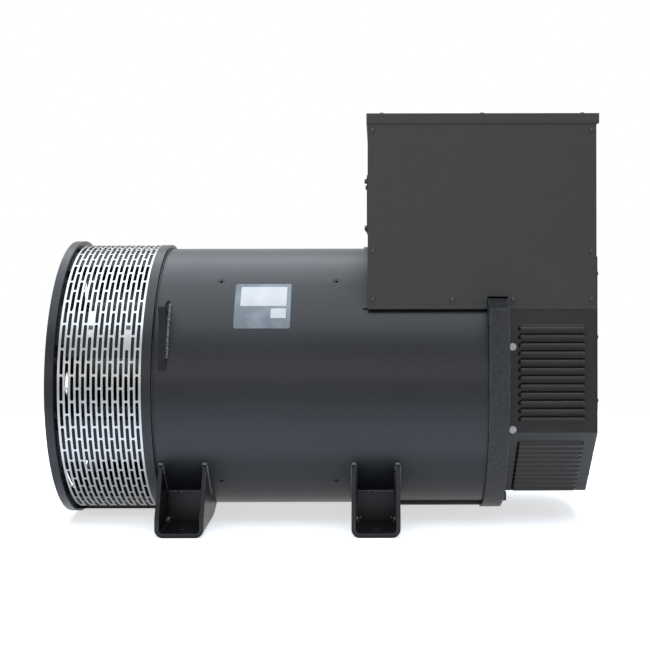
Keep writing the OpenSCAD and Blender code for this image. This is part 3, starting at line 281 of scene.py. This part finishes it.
black_satin = painted_steel("black_satin_paint", (0.0100, 0.0108, 0.0130),
                            (0.0130, 0.0140, 0.0165), (0.31, 0.37), gloss=0.25)
web_coat = painted_steel("web_paint", (0.006, 0.0065, 0.007), (0.012, 0.0125, 0.0135),
                         (0.45, 0.55), grain=300.0, grain_depth=0.0003, edge=0.002,
                         rub_and_highlight=0.2, gloss=0.16)
plate_coat = painted_steel("plate_paint", (0.0045, 0.0045, 0.0052), (0.0075, 0.0075, 0.0082),
                           (0.30, 0.38), grain=500.0, grain_depth=0.00008, edge=0.0026,
                           rub_and_highlight=0.3, gloss=0.2)
box_coat = painted_steel("box_powder_coat", (0.0250, 0.0246, 0.0232), (0.0290, 0.0286, 0.0270),
                         (0.44, 0.50), grain=1500.0, grain_depth=0.00005, edge=0.001)
hood_coat = painted_steel("hood_powder_coat", (0.0100, 0.0098, 0.0094),
                          (0.0125, 0.0123, 0.0118), (0.20, 0.27), grain=1500.0, edge=0.0032)
dark_bolt = painted_steel("dark_bolt_paint", (0.016, 0.016, 0.016), (0.024, 0.024, 0.024),
                          (0.22, 0.30), grain=600.0, grain_depth=0.00004, rub_and_highlight=0.3, gloss=0.5)
bracket_coat = cast_paint("bracket_cast_paint", (0.0135, 0.0139, 0.0150), (0.0200, 0.0205, 0.0220))
bead_coat = weld_paint("weld_bead_paint", (0.016, 0.0165, 0.0175))
plate_foil = foil("rating_plate_foil", (0.105, 0.12, 0.135))
plate_blank = moulded("rating_plate_blank", (0.385, 0.388, 0.390), 0.42, 900.0, 0.00002)
# black matte ring in the step behind the adaptor's ring: painted shadow
joint_shadow_paint = moulded("joint_shadow_paint", (0.004, 0.004, 0.0045), 0.6)
screen_zinc = bare_metal("screen_zinc", (0.36, 0.368, 0.373), 0.34, spots=0.3)
dull_zinc = bare_metal("dull_zinc", (0.26, 0.265, 0.275), 0.34, (1, 1, 1), depth=0.0002)
bolt_zinc = bare_metal("bolt_zinc", (0.42, 0.43, 0.44), 0.42)
turned_steel = bare_metal("turned_steel", (0.52, 0.52, 0.53), 0.3, (60, 1, 1))
# hub, drive discs and clamp darkened far below bare steel: painted shade inside the bell
shade_dark_steel = bare_metal("shade_dark_steel", (0.055, 0.056, 0.06), 0.5, (60, 1, 1))
core_sheets = bare_metal("core_sheets", (0.20, 0.20, 0.21), 0.5, (900, 1, 1), depth=0.00008)
# fan, damper rings and diode wheel darkened far below bare alloy: painted shade inside the machine
shade_dark_alloy = bare_metal("shade_dark_alloy", (0.10, 0.102, 0.105), 0.55, (1, 1, 1), depth=0.0002)
varnish = moulded("winding_varnish", (0.24, 0.055, 0.018), 0.35, 300.0, 0.0004)
board_resin = moulded("board_resin", (0.035, 0.012, 0.008), 0.45)
rubber = moulded("gasket_rubber", (0.012, 0.012, 0.012), 0.7)
case_plastic = moulded("regulator_case", (0.012, 0.02, 0.03), 0.4)
ball_steel = bare_metal("ball_steel", (0.62, 0.62, 0.63), 0.12, (1, 1, 1))
brass = bare_metal("brass", (0.62, 0.45, 0.18), 0.3)

nodes_with = {
    black_satin: "adaptor_flange adaptor_ring barrel belly_plate core_screws bearing_cap_in "
                 "bearing_cap_out box_saddle",
    web_coat: "adaptor_webs adaptor_bolts",
    plate_coat: "feet_drive_end feet_rear foot_gussets lifting_lugs",
    bracket_coat: "nde_bracket",
    box_coat: "box_frame box_wall_drive box_wall_rear box_panel_front box_panel_back box_lid "
              "box_floor gland_plate",
    hood_coat: "hood_side_front hood_side_back hood_floor_plate hood_rear_cover",
    dark_bolt: "cover_screws gland_bolts bracket_bolts screen_fixings",
    screen_zinc: "air_screen",
    turned_steel: "shaft bearing_outer bearing_inner",
    shade_dark_steel: "coupling_hub drive_discs disc_clamp",
    bolt_zinc: "coupling_bolts fan_bolts cap_bolts exciter_bolts terminal_stand",
    dull_zinc: "hood_bolts",
    core_sheets: "stator_core rotor_core exciter_stator exciter_armature",
    shade_dark_alloy: "fan damper_rings diode_wheel",
    varnish: "stator_winding field_coils exciter_coils",
    board_resin: "terminal_board",
    brass: "terminal_studs bearing_cage",
    ball_steel: "bearing_balls",
    rubber: "lid_gasket",
    case_plastic: "regulator",
}
for finish, names in nodes_with.items():
    for name in names.split():
        for slot in nodes[name].material_slots:
            slot.material = finish


# ---------------------------------------------------------------- pieces of the scene

def add_piece(name, points, faces, finish, smooth=True):
    """Makes the mesh at the origin, puts its finish on, and lets it ride on the stator."""
    mesh = bpy.data.meshes.new(name)
    mesh.from_pydata(points.tolist(), [], faces)
    mesh.update()
    if smooth:
        mesh.shade_smooth()
    else:
        mesh.shade_flat()
    o = bpy.data.objects.new(name, mesh)
    bpy.context.scene.collection.objects.link(o)
    mesh.materials.append(finish)
    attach(o, "stator")


def on_barrel(x, angle, radius):
    """Point at distance x from the flange face and at an angle above the horizontal on the front,
    -Y: (x, -radius cos angle, radius sin angle), all in metres and radians."""
    return np.stack([x + 0 * angle, -radius * np.cos(angle), radius * np.sin(angle)], -1)


def bead_along(name, path, radius, pitch=0.0042, seed=0.0):
    """Weld bead: a round tube along a path.  At the run s along the path its radius is
    radius * (0.86 + 0.2 |sin(pi s / pitch)| + 0.1 sin(2.3 s / pitch + seed)).  Within e = 1.5 radius
    of either end it is that times sqrt(1 - (1 - d / e)^2), d being the distance to the end, so that
    both ends close to a point."""
    around = 12
    fewest_rings, ring_spacing = 24, 0.0011
    step = np.linalg.norm(np.diff(path, axis=0), axis=1)
    s = np.concatenate([[0.0], np.cumsum(step)])
    fine = np.linspace(0, s[-1], max(fewest_rings, int(s[-1] / ring_spacing)))
    line = np.stack([np.interp(fine, s, path[:, k]) for k in range(3)], -1)
    tangent = np.gradient(line, axis=0)
    tangent /= np.linalg.norm(tangent, axis=1, keepdims=True)
    aslant = np.array([0.31, 0.52, 0.79])  # no path runs this way, so no cross product is zero
    side = np.cross(tangent, aslant)
    side /= np.linalg.norm(side, axis=1, keepdims=True)
    rise = np.cross(tangent, side)
    end = np.clip(np.minimum(fine, s[-1] - fine) / (1.5 * radius), 0, 1)
    ripple = 0.2 * np.abs(np.sin(np.pi * fine / pitch))
    drift = 0.1 * np.sin(2.3 * fine / pitch + seed)
    r = radius * (0.86 + ripple + drift) * np.sqrt(np.maximum(1 - (1 - end) ** 2, 0.0))
    turn = np.linspace(0, 2 * np.pi, around, endpoint=False)[None, :, None]
    ring = side[:, None] * np.cos(turn) + rise[:, None] * np.sin(turn)
    skin = (line[1:-1, None] + r[1:-1, None, None] * ring[1:-1]).reshape(-1, 3)
    points = np.concatenate([skin, line[:1], line[-1:]])
    rows = len(fine) - 2
    i, j = np.meshgrid(np.arange(rows - 1), np.arange(around), indexing="ij")
    k = (j + 1) % around
    below, above = i * around, (i + 1) * around
    quads = np.stack([below + j, below + k, above + k, above + j], -1).reshape(-1, 4)
    here = np.arange(around)
    after = (here + 1) % around
    first, last = len(points) - 2, len(points) - 1
    start_cap = np.stack([0 * here + first, after, here], -1)
    last_row = (rows - 1) * around
    end_cap = np.stack([0 * here + last, last_row + here, last_row + after], -1)
    faces = quads.tolist() + start_cap.tolist() + end_cap.tolist()
    add_piece(name, points, faces, bead_coat)


def curved_slab(name, x_mid, width, angles, inner, outer, corner, finish):
    """Thin slab bent round the barrel between two angles.  Its outline is a rectangle with rounded
    corners: at a distance d from its upper or lower edge, its half width is less by
    corner - sqrt(corner^2 - (corner - d)^2).  The skin at the outer radius, the skin at the inner
    radius and the rim between them close it."""
    low, high = angles
    near_edges = np.array([0.004, 0.01, 0.02, 0.98, 0.99, 0.996])
    rows = np.unique(np.concatenate([np.linspace(0, 1, 29), near_edges]))
    across = np.linspace(-1, 1, 15)
    height = outer * (high - low)
    from_edge = np.minimum(rows, 1 - rows) * height
    inside = np.maximum(corner - from_edge, 0)
    cut = corner - np.sqrt(np.maximum(corner ** 2 - inside ** 2, 0))
    x = x_mid + (width / 2 - cut)[:, None] * across[None, :]
    angle = (low + rows * (high - low))[:, None] + 0 * across[None, :]
    n, m = len(rows), len(across)
    top = on_barrel(x, angle, outer).reshape(-1, 3)
    under = on_barrel(x, angle, inner).reshape(-1, 3)
    i, j = np.meshgrid(np.arange(n - 1), np.arange(m - 1), indexing="ij")
    a = (i * m + j).ravel()
    skin = np.stack([a, a + 1, a + m + 1, a + m], -1)
    edge = np.concatenate([np.arange(m), np.arange(1, n) * m + m - 1,
                           (n - 1) * m + np.arange(m - 2, -1, -1), np.arange(n - 2, 0, -1) * m])
    after = np.roll(edge, -1)
    rim = np.stack([after, edge, edge + n * m, after + n * m], -1)
    faces = np.concatenate([skin, skin[:, ::-1] + n * m, rim])
    add_piece(name, np.concatenate([top, under]), faces.tolist(), finish, smooth=False)


def shadow_ring(name, x_mid, radius, thick):
    """Dark ring round the shaft axis that paints the shadow in a step: a circle of radius thick
    carried round a circle of the given radius."""
    n, m = 180, 10
    u, v = np.meshgrid(np.linspace(0, 2 * np.pi, n, endpoint=False),
                       np.linspace(0, 2 * np.pi, m, endpoint=False), indexing="ij")
    r = radius + thick * np.cos(v)
    points = np.stack([x_mid + thick * np.sin(v), r * np.cos(u), r * np.sin(u)], -1).reshape(-1, 3)
    i, j = np.meshgrid(np.arange(n), np.arange(m), indexing="ij")
    p, q = (i + 1) % n, (j + 1) % m
    faces = np.stack([i * m + j, p * m + j, p * m + q, i * m + q], -1).reshape(-1, 4)
    add_piece(name, points, faces.tolist(), joint_shadow_paint)


def on_side(path, mirror):
    """The path as it is on the front, or mirrored to the back where mirror is -1."""
    return path * np.array([1, mirror, 1])


barrel_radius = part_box("barrel")[1][1]
joint_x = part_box("adaptor_ring")[1][0]
lug_face_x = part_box("lifting_lugs")[1][0]
sides = (("front", 1), ("back", -1))

# bare rating plate with two blank fields
plate_inner, plate_outer = barrel_radius - mm(0.2), barrel_radius + mm(0.7)
field_inner, field_outer = barrel_radius + mm(0.5), barrel_radius + mm(0.95)
curved_slab("rating_plate", x_mid=mm(400.5), width=mm(107), angles=degrees(24.9, 47.4),
            inner=plate_inner, outer=plate_outer, corner=mm(4),
            finish=plate_foil)
curved_slab("rating_plate_field_large", x_mid=mm(402), width=mm(88), angles=degrees(35.4, 45.6),
            inner=field_inner, outer=field_outer, corner=mm(1.5),
            finish=plate_blank)
curved_slab("rating_plate_field_small", x_mid=mm(431), width=mm(29), angles=degrees(29.6, 34.2),
            inner=field_inner, outer=field_outer, corner=mm(1.2),
            finish=plate_blank)

# dark ring in the step between the adaptor's ring and the barrel: a painted shadow of that step
shadow_ring("joint_painted_shadow", x_mid=joint_x + mm(1.3), radius=barrel_radius + mm(1.0), thick=mm(1.5))

# weld beads of the lugs
lug_rise = np.linspace(*degrees(12, 36.5), 40)
lug_path = on_barrel(lug_face_x + mm(0.6), lug_rise, barrel_radius + mm(1.4))
for side, mirror in sides:
    bead_along("lug_bead_" + side, on_side(lug_path, mirror),
               radius=mm(4.2), pitch=mm(5.5), seed=float(mirror))

# weld beads of the feet: up both faces of each leg, round its tip, and along the rear plate
leg_wall = mm(8)
leg_rise = np.linspace(*degrees(-58, -35.5), 30)
leg_line = barrel_radius + mm(0.9)
tip_angle = math.radians(-34.6)
tip_line = barrel_radius + mm(1.6)
tip_overhang = mm(1.5)
gusset_y = mm(150.6)
gusset_z = -math.sqrt((barrel_radius + mm(0.8)) ** 2 - gusset_y ** 2)
for foot, node in (("drive_end", "feet_drive_end"), ("rear", "feet_rear")):
    low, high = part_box(node)
    legs = (("left", low[0], low[0] + leg_wall), ("right", high[0] - leg_wall, high[0]))
    for side, mirror in sides:
        for leg, x0, x1 in legs:
            outer_x, inner_x = (x0, x1) if leg == "left" else (x1, x0)
            for face, x in (("outer", outer_x), ("inner", inner_x)):
                path = on_barrel(x, leg_rise, leg_line)
                bead_along("foot_bead_%s_%s_%s_%s" % (foot, side, leg, face),
                           on_side(path, mirror), radius=mm(2.1), seed=x * 40)
            tip = np.linspace(x0 - tip_overhang, x1 + tip_overhang, 12)
            path = on_barrel(tip, 0 * tip + tip_angle, tip_line)
            bead_along("foot_tip_%s_%s_%s" % (foot, side, leg),
                       on_side(path, mirror), radius=mm(3.6), seed=x0 * 30)
        run = np.linspace(low[0] + leg_wall, high[0] - leg_wall, 20)
        path = np.stack([run, 0 * run - gusset_y, 0 * run + gusset_z], -1)
        bead_along("gusset_bead_%s_%s" % (foot, side),
                   on_side(path, mirror), radius=mm(2.4), seed=mirror * 2.0)


# ---------------------------------------------------------------- stage

white = (1, 1, 1, 1)
background_strength = 1.0
room_colour, room_strength = (0.92, 0.95, 1.0, 1), 0.45
floor_colour, floor_glow = (0.84, 0.87, 0.93, 1), 0.62
floor_gap = 0.0005
floor_x, floor_y = (-1.6, 2.6), (-1.0, 1.6)


def rays_that_see_white(tree):
    """1 for camera, glossy and transmission rays, so that metal shows the same white background
    as the camera."""
    seen = tree.nodes.new("ShaderNodeLightPath")
    total = seen.outputs["Is Camera Ray"]
    for name in ("Is Glossy Ray", "Is Transmission Ray"):
        both = tree.nodes.new("ShaderNodeMath")
        both.operation = "MAXIMUM"
        tree.links.new(total, both.inputs[0])
        tree.links.new(seen.outputs[name], both.inputs[1])
        total = both.outputs[0]
    return total


def shown_by_ray(tree, output, plain, bright):
    """Sends the bright shader to the rays that see white and the plain one to all others."""
    mix = tree.nodes.new("ShaderNodeMixShader")
    tree.links.new(rays_that_see_white(tree), mix.inputs[0])
    tree.links.new(plain.outputs[0], mix.inputs[1])
    tree.links.new(bright.outputs[0], mix.inputs[2])
    tree.links.new(mix.outputs[0], tree.nodes.new(output).inputs["Surface"])


def studio_floor():
    """Plain floor.  It glows for the rays that see white and keeps the machine's shadow."""
    z = cad_low[2] - floor_gap
    corners = [(floor_x[0], floor_y[0], z), (floor_x[1], floor_y[0], z),
               (floor_x[1], floor_y[1], z), (floor_x[0], floor_y[1], z)]
    mesh = bpy.data.meshes.new("studio_floor")
    mesh.from_pydata(corners, [], [(0, 1, 2, 3)])
    mesh.update()
    floor = bpy.data.objects.new("studio_floor", mesh)
    bpy.context.scene.collection.objects.link(floor)
    material = bpy.data.materials.new("studio_floor")
    material.use_nodes = True
    tree = material.node_tree
    tree.nodes.clear()
    plain = tree.nodes.new("ShaderNodeBsdfDiffuse")
    plain.inputs["Color"].default_value = floor_colour
    glow = tree.nodes.new("ShaderNodeEmission")
    glow.inputs["Color"].default_value = white
    glow.inputs["Strength"].default_value = floor_glow
    lit = tree.nodes.new("ShaderNodeAddShader")
    tree.links.new(plain.outputs[0], lit.inputs[0])
    tree.links.new(glow.outputs[0], lit.inputs[1])
    shown_by_ray(tree, "ShaderNodeOutputMaterial", plain, lit)
    mesh.materials.append(material)


def studio_world():
    """White background for the rays that see white, and a soft grey room for diffuse light."""
    world = bpy.data.worlds.new("studio")
    bpy.context.scene.world = world
    world.use_nodes = True
    tree = world.node_tree
    tree.nodes.clear()
    room = tree.nodes.new("ShaderNodeBackground")
    room.inputs["Color"].default_value = room_colour
    room.inputs["Strength"].default_value = room_strength
    backdrop = tree.nodes.new("ShaderNodeBackground")
    backdrop.inputs["Color"].default_value = white
    backdrop.inputs["Strength"].default_value = background_strength
    shown_by_ray(tree, "ShaderNodeOutputWorld", room, backdrop)


def area_lamp(name, place, aim, size, power, colour):
    data = bpy.data.lights.new(name, "AREA")
    data.shape = "RECTANGLE"
    data.size, data.size_y = size
    data.energy = power
    data.color = colour
    lamp = bpy.data.objects.new(name, data)
    bpy.context.scene.collection.objects.link(lamp)
    lamp.location = place
    lamp.rotation_euler = (Vector(aim) - Vector(place)).to_track_quat("-Z", "Y").to_euler()
    return lamp


def studio_camera():
    """Level camera in front of the machine at terminal box height, framed by lens shift."""
    roll = math.radians(0.0856)
    data = bpy.data.cameras.new("view")
    data.sensor_width = 36.0
    data.lens = 70.46252308
    data.shift_x = -0.0752384615
    data.shift_y = -0.1199384615
    data.clip_end = 50.0
    camera = bpy.data.objects.new("view", data)
    bpy.context.scene.collection.objects.link(camera)
    camera.location = (0.6128, -2.63606, 0.2631)
    camera.rotation_euler = (math.pi / 2, roll, 0)
    bpy.context.scene.camera = camera


studio_floor()
studio_world()
area_lamp("top_softbox", place=(0.5, -0.2, 1.75), aim=(0.5, -0.2, 0.0), size=(2.6, 3.6),
          power=98.0, colour=(0.82, 0.91, 1.0))
area_lamp("front_fill", place=(0.3, -3.6, 0.62), aim=(0.5, 0.0, 0.2), size=(3.2, 0.8),
          power=15.0, colour=(1.0, 0.98, 0.95))
bounce = area_lamp("floor_bounce", place=(0.5, -0.40, cad_low[2] + 0.004), aim=(0.5, -0.40, 1.0),
                   size=(1.3, 0.26), power=1.0, colour=(0.80, 0.88, 1.0))
bounce.visible_camera = False
studio_camera()
bpy.context.scene.view_settings.view_transform = "Standard"
